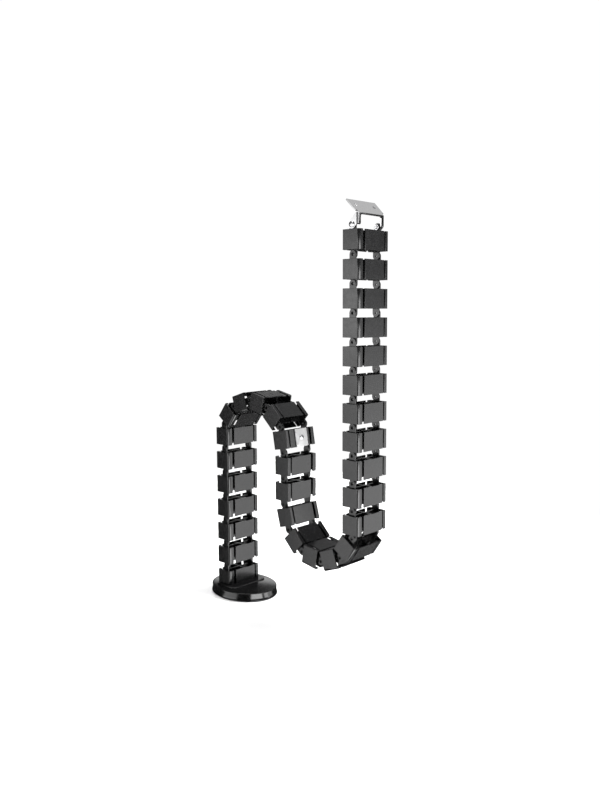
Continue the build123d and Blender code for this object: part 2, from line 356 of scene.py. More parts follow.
class Nodes:
    """Short ways to add and join the nodes of one material."""

    def __init__(self, name: str) -> None:
        """Starts a material that has one surface shader.

        Args:
            name: the material's name.
        """
        self.material = bpy.data.materials.new(name)
        self.material.use_nodes = True
        self.tree = self.material.node_tree
        self.tree.nodes.clear()
        self.output = self.tree.nodes.new("ShaderNodeOutputMaterial")
        self.shader = self.tree.nodes.new("ShaderNodeBsdfPrincipled")
        self.tree.links.new(self.shader.outputs[0], self.output.inputs[0])
        self.place = self.tree.nodes.new("ShaderNodeTexCoord").outputs["Object"]

    def stretch(self, scale: tuple[float, float, float]) -> bpy.types.NodeSocket:
        """The object's own coordinates, scaled.

        Args:
            scale: how often the pattern repeats along each axis.

        Returns:
            The socket with the new coordinates.
        """
        node = self.tree.nodes.new("ShaderNodeMapping")
        node.inputs["Scale"].default_value = scale
        self.tree.links.new(self.place, node.inputs["Vector"])
        return node.outputs[0]

    def noise(self, where: bpy.types.NodeSocket, scale: float, detail: float = 2.0,
              rough: float = 0.5) -> bpy.types.NodeSocket:
        """Cloudy noise at the given coordinates.

        Args:
            where: the coordinates.
            scale: grains in each metre.
            detail: layers of finer noise.
            rough: share of each finer layer.

        Returns:
            The socket with the noise, from 0 to 1.
        """
        node = self.tree.nodes.new("ShaderNodeTexNoise")
        node.inputs["Scale"].default_value = scale
        node.inputs["Detail"].default_value = detail
        node.inputs["Roughness"].default_value = rough
        self.tree.links.new(where, node.inputs["Vector"])
        return node.outputs["Fac"]

    def spread(self, value: bpy.types.NodeSocket, low: float, high: float,
               start: float = 0.3, end: float = 0.7) -> bpy.types.NodeSocket:
        """Maps noise from the range that most of it lies in to another range.

        Args:
            value: the noise to map.
            low: result at the start of the noise's range.
            high: result at its end.
            start: start of the noise's range.
            end: end of the noise's range.

        Returns:
            The socket with the mapped value.
        """
        node = self.tree.nodes.new("ShaderNodeMapRange")
        node.inputs["From Min"].default_value = start
        node.inputs["From Max"].default_value = end
        node.inputs["To Min"].default_value = low
        node.inputs["To Max"].default_value = high
        self.tree.links.new(value, node.inputs["Value"])
        return node.outputs[0]

    def shades(self, value: bpy.types.NodeSocket, dark: Sequence[float],
               light: Sequence[float]) -> bpy.types.NodeSocket:
        """Mixes two colours by a value.

        Args:
            value: 0 for the dark colour and 1 for the light one.
            dark: red, green and blue of the dark colour.
            light: red, green and blue of the light colour.

        Returns:
            The socket with the mixed colour.
        """
        node = self.tree.nodes.new("ShaderNodeMix")
        node.data_type = "RGBA"
        colours = [socket for socket in node.inputs if socket.type == "RGBA"]
        colours[0].default_value = (*dark, 1)
        colours[1].default_value = (*light, 1)
        self.tree.links.new(value, node.inputs[0])
        return next(socket for socket in node.outputs if socket.type == "RGBA")

    def relief(self, height: bpy.types.NodeSocket, depth: float, strength: float) -> None:
        """Gives the surface a fine relief.

        Args:
            height: height of the relief, from 0 to 1.
            depth: real depth of the relief, in metres.
            strength: share of the relief that shows.
        """
        node = self.tree.nodes.new("ShaderNodeBump")
        node.inputs["Distance"].default_value = depth
        node.inputs["Strength"].default_value = strength
        self.tree.links.new(height, node.inputs["Height"])
        self.tree.links.new(node.outputs[0], self.shader.inputs["Normal"])

    def drive(self, socket: str, value: bpy.types.NodeSocket) -> None:
        """Joins a value to one input of the surface shader."""
        self.tree.links.new(value, self.shader.inputs[socket])


@dataclass(frozen=True)
class MouldedPlastic:
    """Black plastic with the fine spark-eroded grain of its mould."""

    name: str
    dark: tuple[float, float, float]
    light: tuple[float, float, float]
    gloss_low: float
    gloss_high: float
    grain: float
    grain_depth: float
    cloud: float = 38
    flow: float = 160
    relief_share: float = 0.6

    def build(self) -> bpy.types.Material:
        """Makes the material.

        Returns:
            The new material.
        """
        nodes = Nodes(self.name)
        cloud = nodes.spread(nodes.noise(nodes.place, self.cloud, 3), 0, 1)
        nodes.drive("Base Color", nodes.shades(cloud, self.dark, self.light))
        flow = nodes.noise(nodes.place, self.flow, 4, 0.6)
        nodes.drive("Roughness", nodes.spread(flow, self.gloss_low, self.gloss_high))
        grain = nodes.noise(nodes.place, self.grain, 3, 0.6)
        nodes.relief(grain, self.grain_depth, self.relief_share)
        return nodes.material


@dataclass(frozen=True)
class PlatedSteel:
    """Sheet or turned steel with a thin bright plating and faint rolling marks."""

    name: str
    dark: tuple[float, float, float]
    light: tuple[float, float, float]
    gloss_low: float
    gloss_high: float
    along: tuple[float, float, float] = (1, 1, 1)
    lines: float = 900
    mottle: float = 420
    mark_depth: float = 0.006 * MM
    mark_share: float = 0.5

    def build(self) -> bpy.types.Material:
        """Makes the material.

        Returns:
            The new material.
        """
        nodes = Nodes(self.name)
        nodes.shader.inputs["Metallic"].default_value = 1.0
        lines = nodes.noise(nodes.stretch(self.along), self.lines, 4, 0.65)
        mottle = nodes.spread(nodes.noise(nodes.place, self.mottle, 5, 0.6), 0, 1)
        nodes.drive("Base Color", nodes.shades(mottle, self.dark, self.light))
        nodes.drive("Roughness", nodes.spread(lines, self.gloss_low, self.gloss_high))
        nodes.relief(lines, self.mark_depth, self.mark_share)
        return nodes.material


@dataclass(frozen=True)
class FoamRubber:
    """Soft closed-cell foam with a fine open skin."""

    name: str
    dark: tuple[float, float, float]
    light: tuple[float, float, float]
    gloss_low: float = 0.82
    gloss_high: float = 0.95
    cells: float = 2400
    cell_depth: float = 0.08 * MM
    relief_share: float = 0.8

    def build(self) -> bpy.types.Material:
        """Makes the material.

        Returns:
            The new material.
        """
        nodes = Nodes(self.name)
        cells = nodes.noise(nodes.place, self.cells, 3, 0.7)
        nodes.drive("Base Color", nodes.shades(nodes.spread(cells, 0, 1), self.dark, self.light))
        nodes.drive("Roughness", nodes.spread(cells, self.gloss_low, self.gloss_high))
        nodes.relief(cells, self.cell_depth, self.relief_share)
        return nodes.material


@dataclass
class Finishes:
    """Every finish of the object, by the part that wears it."""

    link: bpy.types.Material
    cover: bpy.types.Material
    sheet: bpy.types.Material
    plate: bpy.types.Material
    fastener: bpy.types.Material
    weight: bpy.types.Material
    pad: bpy.types.Material

    @staticmethod
    def make() -> Finishes:
        """Builds the materials once, for every piece to share.

        Returns:
            The finishes.
        """
        return Finishes(
            link=MouldedPlastic(
                "link_plastic", dark=(0.0055, 0.0055, 0.0057), light=(0.007, 0.007, 0.0072),
                gloss_low=0.15, gloss_high=0.21, grain=2600, grain_depth=0.004 * MM).build(),
            cover=MouldedPlastic(
                "cover_plastic", dark=(0.004, 0.004, 0.0042), light=(0.0055, 0.0055, 0.0057),
                gloss_low=0.12, gloss_high=0.18, grain=3200, grain_depth=0.004 * MM).build(),
            sheet=PlatedSteel(
                "plated_sheet", dark=(0.55, 0.55, 0.56), light=(0.63, 0.63, 0.63),
                gloss_low=0.07, gloss_high=0.12, along=(1, 0.04, 1)).build(),
            plate=PlatedSteel(
                "plated_plate", dark=(0.48, 0.48, 0.48), light=(0.58, 0.58, 0.58),
                gloss_low=0.44, gloss_high=0.54).build(),
            fastener=PlatedSteel(
                "plated_fastener", dark=(0.56, 0.56, 0.57), light=(0.66, 0.66, 0.67),
                gloss_low=0.18, gloss_high=0.3).build(),
            weight=PlatedSteel(
                "bare_steel", dark=(0.3, 0.29, 0.28), light=(0.42, 0.41, 0.4),
                gloss_low=0.4, gloss_high=0.6, along=(1, 1, 0.05)).build(),
            pad=FoamRubber(
                "foam_pad", dark=(0.012, 0.012, 0.012), light=(0.03, 0.03, 0.03)).build(),
        )


def dress(item: bpy.types.Object, finish: bpy.types.Material) -> None:
    """Gives every face of an object one finish."""
    item.data.materials.clear()
    item.data.materials.append(finish)


def hand_over(item: bpy.types.Object, body: str, nodes: Iterable[str],
              finish: bpy.types.Material | None = None) -> None:
    """Makes an object a piece of the model.

    Args:
        item: the finished object, at the origin.
        body: the body that it moves with.
        nodes: the solids that it stands for.
        finish: its finish, unless it has one.
    """
    if finish is not None:
        dress(item, finish)
    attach(item, body)
    names = list(nodes)
    if names:
        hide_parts(*names)
    LOG.info("%s rides on %s, %d faces", item.name, body, len(item.data.polygons))


# The chain


@dataclass
class ChainPath:
    """The line of the hinges at rest, from the foot to the bracket."""

    pitch: float = 42 * MM
    start: tuple[float, float] = (-15 * MM, 6.7 * MM)
    column: Sequence[int] = (0,) * 7
    fold: Sequence[int] = (38, 34, 30, 31, 37, 10, 0, -15, -30, -35, -30, -35, -35)
    tail: Sequence[int] = (0,) * 10

    def hinges(self) -> list[tuple[Vector, float]]:
        """The lower hinge of each link with the link's turn about Y, and then the bracket's.

        Returns:
            Place and turn, in metres and radians.
        """
        x, z = self.start
        turn = 0.0
        found: list[tuple[Vector, float]] = []
        for bend in (*self.column, *self.fold, *self.tail):
            turn += math.radians(bend)
            found.append((Vector((x, 0, z)), turn))
            x += self.pitch * math.sin(turn)
            z += self.pitch * math.cos(turn)
        found.append((Vector((x, 0, z)), 0.0))
        return found

    def frame_of(self, number: int) -> Matrix:
        """The place and turn of one link, counted from 1, as a matrix."""
        where, turn = self.hinges()[number - 1]
        return Matrix.Translation(where) @ Matrix.Rotation(turn, 4, "Y")

    def top(self) -> Vector:
        """The bracket's hinge."""
        return self.hinges()[-1][0]


@dataclass
class LinkShape:
    """One link: a slotted tube with a cross inside, and the lugs and pins of its two hinges.

    The near corners and slots are the rounded corners and wide slots that the camera faces, and
    the far ones are the sharp corners and narrow slots.
    """

    pitch: float = 42 * MM
    width: float = 66 * MM
    depth: float = 31.4 * MM
    height: float = 29.1 * MM
    near_corner: float = 3.6 * MM
    far_corner: float = 0.7 * MM
    wall: float = 1.8 * MM
    web: float = 1.4 * MM
    near_slot: float = 4.8 * MM
    near_strip: float = 8.7 * MM
    far_slot: float = 2.7 * MM
    far_strip: float = 5.75 * MM
    mouth: float = 0.3 * MM
    throat: float = 0.3 * MM
    root: float = 0.9 * MM
    inner_corner: float = 1.8 * MM
    corner_steps: int = 5
    rim: float = 0.2 * MM
    lug_setback: float = 4 * MM
    lug_thick: float = 2.2 * MM
    lug_radius: float = 6 * MM
    lug_root: float = 9 * MM
    lug_gap: float = 0.2 * MM
    lug_rim: float = 0.25 * MM
    lug_steps: int = 24
    pin_radius: float = 2.5 * MM
    pin_play: float = 0.06 * MM
    pin_recess: float = 1.3 * MM
    pin_bore: float = 1.7 * MM
    pin_rim: float = 0.2 * MM
    foot_low: float = 11.3 * MM
    boss_radius: float = 3.6 * MM
    boss_bore: float = 1.9 * MM
    boss_height: float = 13 * MM
    boss_roof: float = 2 * MM
    boss_inset: float = 5 * MM
    boss_rim: float = 0.1 * MM
    boss_steps: int = 24
    plate_boss_radius: float = 3.7 * MM
    plate_boss_depth: float = 9 * MM

    @property
    def low(self) -> float:
        """Height of the tube's lower rim above the lower hinge."""
        return (self.pitch - self.height) / 2

    @property
    def high(self) -> float:
        """Height of the tube's upper rim above the lower hinge."""
        return self.low + self.height

    @property
    def outer_face(self) -> float:
        """Distance of the outer lugs' outer face from the middle."""
        return self.width / 2 - self.lug_setback

    def half_section(self) -> list[Corner]:
        """Half of the tube's outline; the other half is the same, turned half round.

        Returns:
            The corners with their radii, anticlockwise.
        """
        out_x, in_x = self.depth / 2, self.depth / 2 - self.wall
        out_y, in_y = self.width / 2, self.width / 2 - self.wall
        half = self.web / 2
        far_high = out_y - self.far_strip
        far_low = far_high - self.far_slot
        near_high = out_y - self.near_strip
        near_low = near_high - self.near_slot
        root, mouth, throat, inner = self.root, self.mouth, self.throat, self.inner_corner
        return [
            (out_x, far_low, mouth), (in_x, far_low, throat), (in_x, half, root),
            (half, half, root), (half, in_y, root), (in_x, in_y, inner),
            (in_x, far_high, throat), (out_x, far_high, mouth),
            (out_x, out_y, self.far_corner), (-out_x, out_y, self.near_corner),
            (-out_x, near_high, mouth), (-in_x, near_high, throat), (-in_x, in_y, inner),
            (-half, in_y, root), (-half, half, root), (-in_x, half, root),
            (-in_x, near_low, throat), (-out_x, near_low, mouth),
        ]

    def section(self) -> Ring:
        """The whole outline of the tube, with its rounded corners."""
        half = self.half_section()
        return round_corners(half + [(-x, -y, radius) for x, y, radius in half], self.corner_steps)

    def lug(self, middle: float, pivot: float, root: float) -> bpy.types.Object:
        """One lug, with its round end about the pivot.

        Args:
            middle: distance of its middle plane from the link's middle.
            pivot: height of the pivot.
            root: height of its other end.

        Returns:
            The lug as an object.
        """
        up = 1 if pivot > root else -1
        radius, half = self.lug_radius, self.lug_thick / 2
        points: Ring = []
        for step in range(self.lug_steps + 1):
            angle = math.pi * step / self.lug_steps
            rise = up * radius * math.sin(angle)
            points.append(Vector((radius * math.cos(angle), pivot + rise)))
        points += [Vector((-radius, root)), Vector((radius, root))]
        if up < 0:
            points.reverse()
        form = Form()
        upright = Matrix.Rotation(math.pi / 2, 4, "X")
        form.slab(points, -middle - half, -middle + half, self.lug_rim, 2, upright)
        return form.finish("lug")

    def bar(self, radius: float, low: float, high: float, height: float) -> bpy.types.Object:
        """A round bar along the hinge line, with rounded rims.

        Args:
            radius: the bar's radius.
            low: its lower end in Y.
            high: its upper end in Y.
            height: its height above the lower hinge.

        Returns:
            The bar as an object.
        """
        form = Form()
        upright = Matrix.Translation((0, 0, height)) @ Matrix.Rotation(math.pi / 2, 4, "X")
        form.slab(circle(radius), -high, -low, self.pin_rim, 2, upright)
        return form.finish("bar")

    def post(self, radius: float, low: float, high: float, place: Matrix) -> bpy.types.Object:
        """A round post along Z of the given place.

        Args:
            radius: the post's radius.
            low: its lower end.
            high: its upper end.
            place: where the post stands.

        Returns:
            The post as an object.
        """
        form = Form()
        form.slab(circle(radius, self.boss_steps), low, high, self.boss_rim, 1, place)
        return form.finish("post")

    def build(self, kind: LinkKind) -> bpy.types.Object:
        """Makes one link about its lower hinge.

        Args:
            kind: which of the chain's links it is.

        Returns:
            The link as one closed object.
        """
        form = Form()
        low = self.foot_low if kind is LinkKind.FOOT else self.low
        form.slab(self.section(), low, self.high, self.rim)
        link = form.finish(f"master_{kind.value}")
        outer = self.outer_face - self.lug_thick / 2
        for side in Side:
            lug = self.lug(side.value * outer, self.pitch, self.high - self.lug_root)
            combine(link, lug, Blend.JOIN)
            if kind is LinkKind.FOOT:
                self.add_boss(link, side)
            else:
                self.add_pin(link, side)
        half = self.width / 2
        hinge_hole = self.bar(self.pin_radius + self.pin_play, -half, half, self.pitch)
        combine(link, hinge_hole, Blend.CUT)
        if kind is not LinkKind.FOOT:
            combine(link, self.bar(self.pin_bore, -half, half, 0.0), Blend.CUT)
        if kind is LinkKind.PLATE:
            self.add_plate_boss(link)
        soften(link)
        return link

    def add_boss(self, link: bpy.types.Object, side: Side) -> None:
        """Adds the boss for one screw of the foot to the lowest link.

        Args:
            link: the lowest link.
            side: the side that the boss stands on.
        """
        place = Matrix.Translation((0, side.value * (self.width / 2 - self.boss_inset), 0))
        low, high = self.foot_low, self.foot_low + self.boss_height
        combine(link, self.post(self.boss_radius, low, high, place), Blend.JOIN)
        bore = self.post(self.boss_bore, low - CLEAR, high - self.boss_roof, place)
        combine(link, bore, Blend.CUT)

    def add_pin(self, link: bpy.types.Object, side: Side) -> None:
        """Adds the lower lug of one side with its pin.

        Args:
            link: the link that gets the lug.
            side: the side that the lug stands on.
        """
        middle = self.outer_face - self.lug_thick / 2 - self.lug_thick - self.lug_gap
        lug = self.lug(side.value * middle, 0.0, self.low + self.lug_root)
        combine(link, lug, Blend.JOIN)
        ends = sorted((side.value * middle, side.value * (self.outer_face - self.pin_recess)))
        combine(link, self.bar(self.pin_radius, *ends, 0.0), Blend.JOIN)

    def add_plate_boss(self, link: bpy.types.Object) -> None:
        """Adds the boss for the screw of the steel plate.

        Args:
            link: the link that carries the plate.
        """
        place = Matrix.Translation((-self.depth / 2, 0, self.pitch / 2))
        place @= Matrix.Rotation(math.pi / 2, 4, "Y")
        depth = self.plate_boss_depth
        combine(link, self.post(self.plate_boss_radius, self.wall / 2, depth, place), Blend.JOIN)
        combine(link, self.post(self.boss_bore, -CLEAR, depth - self.wall, place), Blend.CUT)


@dataclass
class LinkPlacer:
    """A node tree that sets one link on one point of the hinge line."""

    path: ChainPath
    finish: bpy.types.Material
    tree: bpy.types.NodeTree = field(init=False)

    def __post_init__(self) -> None:
        """Builds the tree with its named inputs."""
        self.tree = bpy.data.node_groups.new("place_link", "GeometryNodeTree")
        face = self.tree.interface
        face.new_socket("Hinge Line", in_out="INPUT", socket_type="NodeSocketGeometry")
        face.new_socket("Link", in_out="INPUT", socket_type="NodeSocketObject")
        face.new_socket("Number", in_out="INPUT", socket_type="NodeSocketInt")
        face.new_socket("Finish", in_out="INPUT", socket_type="NodeSocketMaterial")
        face.new_socket("Placed Link", in_out="OUTPUT", socket_type="NodeSocketGeometry")
        add, join = self.tree.nodes.new, self.tree.links.new
        source, target = add("NodeGroupInput"), add("NodeGroupOutput")
        index, same = add("GeometryNodeInputIndex"), add("FunctionNodeCompare")
        same.data_type, same.operation = "INT", "EQUAL"
        counted = [socket for socket in same.inputs if socket.type == "INT"]
        join(index.outputs[0], counted[0])
        join(source.outputs["Number"], counted[1])
        turn, euler = add("GeometryNodeInputNamedAttribute"), add("ShaderNodeCombineXYZ")
        turn.data_type = "FLOAT"
        turn.inputs["Name"].default_value = "turn"
        join(turn.outputs["Attribute"], euler.inputs["Y"])
        shape = add("GeometryNodeObjectInfo")
        join(source.outputs["Link"], shape.inputs["Object"])
        points = add("GeometryNodeInstanceOnPoints")
        join(source.outputs["Hinge Line"], points.inputs["Points"])
        join(same.outputs[0], points.inputs["Selection"])
        join(shape.outputs["Geometry"], points.inputs["Instance"])
        join(euler.outputs[0], points.inputs["Rotation"])
        real, paint = add("GeometryNodeRealizeInstances"), add("GeometryNodeSetMaterial")
        join(points.outputs[0], real.inputs[0])
        join(real.outputs[0], paint.inputs["Geometry"])
        join(source.outputs["Finish"], paint.inputs["Material"])
        join(paint.outputs[0], target.inputs[0])

    def line(self, name: str) -> bpy.types.Object:
        """The hinge line as a mesh of points, each with its link's turn.

        Args:
            name: name of the new object.

        Returns:
            The new object.
        """
        hinges = self.path.hinges()
        data = bpy.data.meshes.new(name)
        edges = [(index, index + 1) for index in range(len(hinges) - 1)]
        data.from_pydata([where for where, _ in hinges], edges, [])
        turns = data.attributes.new("turn", "FLOAT", "POINT")
        turns.data.foreach_set("value", [turn for _, turn in hinges])
        made = bpy.data.objects.new(name, data)
        bpy.context.scene.collection.objects.link(made)
        return made

    def place(self, number: int, link: bpy.types.Object) -> bpy.types.Object:
        """Sets one link in the chain.

        Args:
            number: the link's number, counted from 1 at the foot.
            link: the link's shape about its lower hinge.

        Returns:
            The placed link as a plain mesh object.
        """
        piece = self.line(f"link_{number:02d}_shell")
        step = piece.modifiers.new("place", "NODES")
        step.node_group = self.tree
        sockets = {item.name: item.identifier for item in self.tree.interface.items_tree
                   if item.in_out == "INPUT"}
        step[sockets["Link"]] = link
        step[sockets["Number"]] = number - 1
        step[sockets["Finish"]] = self.finish
        return settle(piece)


@dataclass
class Chain:
    """All the links of the spine."""

    path: ChainPath
    shape: LinkShape
    finishes: Finishes
    count: int = 30
    plate_link: int = 12

    def kind(self, number: int) -> LinkKind:
        """Which kind of link stands at a number.

        Args:
            number: the link's number, counted from 1 at the foot.

        Returns:
            The kind.
        """
        if number == 1:
            return LinkKind.FOOT
        return LinkKind.PLATE if number == self.plate_link else LinkKind.PLAIN

    def build(self) -> None:
        """Makes the link's three kinds once, and sets them along the hinge line."""
        masters = {kind: self.shape.build(kind) for kind in LinkKind}
        placer = LinkPlacer(self.path, self.finishes.link)
        for number in range(1, self.count + 1):
            piece = placer.place(number, masters[self.kind(number)])
            body = "base" if number == 1 else f"link_{number:02d}"
            hand_over(piece, body, [f"link_{number:02d}"])
        for master in masters.values():
            discard(master)


# Fasteners


@dataclass
class ScrewHead:
    """A low round screw head with a cross for the driver.

    The shoulder, the crown and the cross are given as shares of the head's radius and height.
    """

    radius: float
    height: float
    recess: float = 1.1 * MM
    edge: float = 0.15 * MM
    shoulder: float = 0.35
    crown_in: float = 0.42
    crown_rise: float = 0.9
    crown_steps: int = 6
    top: tuple[float, float] = (0.3, 0.985)
    cross_arm: float = 0.4
    cross_half: float = 0.085
    cross_tip: float = 0.55
    cross_corner: float = 0.1 * MM
    flat_from: float = 0.8 * MM
    steps: int = 40

    def profile(self) -> list[tuple[float, float]]:
        """The head's outline from its seat up to its crown.

        Returns:
            Radius and height of each point.
        """
        points = [(0.0, 0.0), (self.radius - self.edge, 0.0), (self.radius, self.edge)]
        shoulder = self.height * self.shoulder
        for step in range(self.crown_steps + 1):
            angle = math.pi / 2 * step / self.crown_steps
            drop = (self.radius * self.crown_in) * (1 - math.cos(angle))
            rise = (self.height * self.crown_rise - shoulder) * math.sin(angle)
            points.append((self.radius - drop, shoulder + rise))
        points.append((self.radius * self.top[0], self.height * self.top[1]))
        points.append((0.0, self.height))
        return points

    def cutter(self, place: Matrix) -> bpy.types.Object:
        """The shape of the driver's tip, which cuts the cross into the head.

        Args:
            place: the head's seat, with Z out of the head.

        Returns:
            The tip as one closed object.
        """
        form = Form()
        low, high = self.height - self.recess, self.height + CLEAR
        arm, half = self.radius * self.cross_arm, self.radius * self.cross_half
        quarter = [(half, half), (half, arm), (-half, arm)]
        cross = [(x, y, self.cross_corner) for x, y in quarter]
        for _ in range(3):
            cross += [(-y, x, radius) for x, y, radius in cross[-3:]]
        points = round_corners(cross, 2)
        deep = [Vector((*(point * self.cross_tip), low)) for point in points]
        form.stack([deep, [Vector((*point, high)) for point in points]], place)
        return form.finish("driver")

    def build(self, name: str, place: Matrix,
              shank: Sequence[tuple[float, float]]) -> bpy.types.Object:
        """Makes the screw.

        Args:
            name: name of the object.
            place: the head's seat, with Z out of the head.
            shank: radius and height of the shank's outline, from its tip up to the seat.

        Returns:
            The screw as one closed object.
        """
        form = Form()
        form.turned(list(shank) + self.profile()[1:], self.steps, place)
        screw = form.finish(name)
        combine(screw, self.cutter(place), Blend.CUT)
        soften(screw, broad=self.flat_from)
        return screw


def threaded(radius: float, tip: float, end: float, pitch: float = 0.8 * MM,
             tip_share: float = 0.7, root_share: float = 0.86) -> list[tuple[float, float]]:
    """The outline of a threaded shank from its tip up to its plain end.

    Args:
        radius: radius over the thread.
        tip: height of the tip.
        end: height of the plain end.
        pitch: distance of the ridges.
        tip_share: radius of the tip, as a share of the radius over the thread.
        root_share: radius between the ridges, as a share of the radius over the thread.

    Returns:
        Radius and height of each point.
    """
    points = [(0.0, tip), (radius * tip_share, tip)]
    ridges = max(1, int((end - tip) / pitch))
    for ridge in range(ridges):
        height = tip + (ridge + 0.5) * (end - tip) / ridges
        points += [(radius * root_share, height - 0.3 * pitch), (radius, height)]
    points.append((radius, end))
    return points


# The foot


@dataclass
class Foot:
    """The moulded cover of the foot, its seat for the chain and the soft pad below."""

    finishes: Finishes
    length: float = 130 * MM
    across: float = 102 / 130
    pad_thick: float = 1.5 * MM
    pad_inset: float = 1.5 * MM
    pad_edge: tuple[float, float] = (0.3 * MM, 0.4 * MM)
    rim_edge: float = 0.3 * MM
    rim_height: float = 0.8 * MM
    lip_height: float = 1.2 * MM
    lip_in: float = 0.8 * MM
    lip_turn: tuple[float, float] = (0.7, 0.5)
    waist: float = 1.5 * MM
    shoulder_in: float = 1.1 * MM
    band_top: float = 13.4 * MM
    dome_edge: float = 14.5 * MM
    dome_top: float = 17 * MM
    lip: float = 0.9 * MM
    wall: float = 2.4 * MM
    ceiling: float = 13.9 * MM
    seat_top: float = 18 * MM
    seat_middle: float = -8.9 * MM
    seat_length: float = 50 * MM
    seat_width: float = 76 * MM
    seat_corner: float = 9 * MM
    seat_root: float = 0.4 * MM
    seat_rim: float = 0.8 * MM
    flat_from: float = 2.5 * MM
    band_steps: int = 8
    edge_steps: int = 6
    dome_steps: int = 13
    steps: int = 176

    def cover_profile(self) -> list[tuple[float, float]]:
        """The cover's outline, from the ceiling of its hollow round to the top of its dome.

        Returns:
            Distance from the middle, along the foot's length, and height of each point.
        """
        rim = self.length / 2
        hollow = rim - self.waist - self.wall
        shoulder, neck = rim - self.shoulder_in, rim - self.waist
        low = self.pad_thick + self.rim_height
        lip_top, neck_height = low + self.lip_height, (low + self.band_top) / 2
        turn_in, turn_up = self.lip_turn
        points = [(0.0, self.ceiling), (hollow, self.ceiling), (hollow, self.pad_thick),
                  (rim - self.rim_edge, self.pad_thick), (rim, self.pad_thick + self.rim_edge),
                  (rim, low), (rim - self.lip_in * turn_in, low + self.lip_height * turn_up),
                  (rim - self.lip_in, lip_top)]
        for step in range(1, self.band_steps + 1):
            share = step / self.band_steps
            points.append((neck + (rim - self.lip_in - neck) * (1 - share) ** 2,
                           lip_top + (neck_height - lip_top) * share))
        for step in range(1, self.band_steps + 1):
            share = step / self.band_steps
            points.append((neck + (shoulder - neck) * share ** 2,
                           neck_height + (self.band_top - neck_height) * share))
        for step in range(1, self.edge_steps):
            angle = math.pi / 2 * step / self.edge_steps
            points.append((shoulder - self.lip * (1 - math.cos(angle)),
                           self.band_top + (self.dome_edge - self.band_top) * math.sin(angle)))
        edge = shoulder - self.lip
        for step in range(self.dome_steps):
            share = step / self.dome_steps
            rise = (self.dome_top - self.dome_edge) * (1 - (1 - share) ** 2)
            points.append((edge * (1 - share), self.dome_edge + rise))
        points.append((0.0, self.dome_top))
        return points

    def seat(self) -> bpy.types.Object:
        """The flat seat under the lowest link.

        Returns:
            The seat as one closed object, to be joined to the cover.
        """
        half_x, half_y = self.seat_length / 2, self.seat_width / 2
        corners = [(half_x, half_y), (-half_x, half_y), (-half_x, -half_y), (half_x, -half_y)]
        outline = round_corners([(x, y, self.seat_corner) for x, y in corners], 10)
        place = Matrix.Translation((self.seat_middle, 0, 0))
        form = Form()
        low = self.ceiling + self.seat_root
        form.slab(outline, low, self.seat_top, self.seat_rim, 4, place)
        return form.finish("seat")

    def pad(self) -> bpy.types.Object:
        """The soft pad, a little inside the cover's rim.

        Returns:
            The pad as one closed object.
        """
        edge = self.length / 2 - self.pad_inset
        stretch = (self.across * self.length / 2 - self.pad_inset) / edge
        inset, rise = self.pad_edge
        profile = [(0, 0), (edge - inset, 0), (edge, rise), (edge, self.pad_thick),
                   (0, self.pad_thick)]
        form = Form()
        form.turned(profile, self.steps, stretch=stretch)
        pad = form.finish("foot_pad")
        soften(pad)
        return pad

    def build(self) -> None:
        """Makes the cover and the pad."""
        form = Form()
        form.turned(self.cover_profile(), self.steps, stretch=self.across)
        cover = form.finish("foot_cover")
        combine(cover, self.seat(), Blend.JOIN)
        soften(cover, self.flat_from, crease=40)
        hand_over(cover, "base", ["base_cover"], self.finishes.cover)
        hand_over(self.pad(), "base", ["base_pad"], self.finishes.pad)


# Steel plate and bracket


@dataclass
class LinkPlate:
    """The steel plate on one link and its screw."""

    path: ChainPath
    shape: LinkShape
    finishes: Finishes
    number: int = 12
    width: float = 26.5 * MM
    thick: float = 1.8 * MM
    corner: float = 1 * MM
    rim: float = 0.2 * MM
    head_radius: float = 4.2 * MM
    head_height: float = 1.8 * MM
    head_recess: float = 0.7 * MM
    shank_radius: float = 1.9 * MM
    shank_tip: float = -6.2 * MM

    def build(self) -> None:
        """Makes the plate and the screw in its middle."""
        body = f"link_{self.number:02d}"
        seat = Matrix.Translation((-self.shape.depth / 2, 0, self.shape.pitch / 2))
        outward = self.path.frame_of(self.number) @ seat @ Matrix.Rotation(-math.pi / 2, 4, "Y")
        plate = self.plate(outward)
        hand_over(plate, body, ["link_plate"], self.finishes.plate)

        head = ScrewHead(self.head_radius, self.head_height, self.head_recess)
        face = outward @ Matrix.Translation((0, 0, self.thick))
        shank = threaded(self.shank_radius, self.shank_tip - self.thick, -self.thick)
        screw = head.build("hook_plate_screw", face, shank + [(self.shank_radius, 0.0)])
        hand_over(screw, body, ["link_plate_screw"], self.finishes.fastener)

    def plate(self, outward: Matrix) -> bpy.types.Object:
        """The plate with its hole.

        Args:
            outward: the middle of the plate's back, with Z away from the link.

        Returns:
            The plate as one closed object.
        """
        half_x, half_y = self.shape.height / 2, self.width / 2
        corners = [(half_x, half_y), (-half_x, half_y), (-half_x, -half_y), (half_x, -half_y)]
        outline = round_corners([(x, y, self.corner) for x, y in corners])
        form = Form()
        form.slab(outline, 0.0, self.thick, self.rim, 2, outward)
        plate = form.finish("hook_plate")
        form = Form()
        form.sharp_slab(circle(self.shank_radius), -CLEAR, self.thick + CLEAR, outward)
        combine(plate, form.finish("hole"), Blend.CUT)
        soften(plate)
        return plate


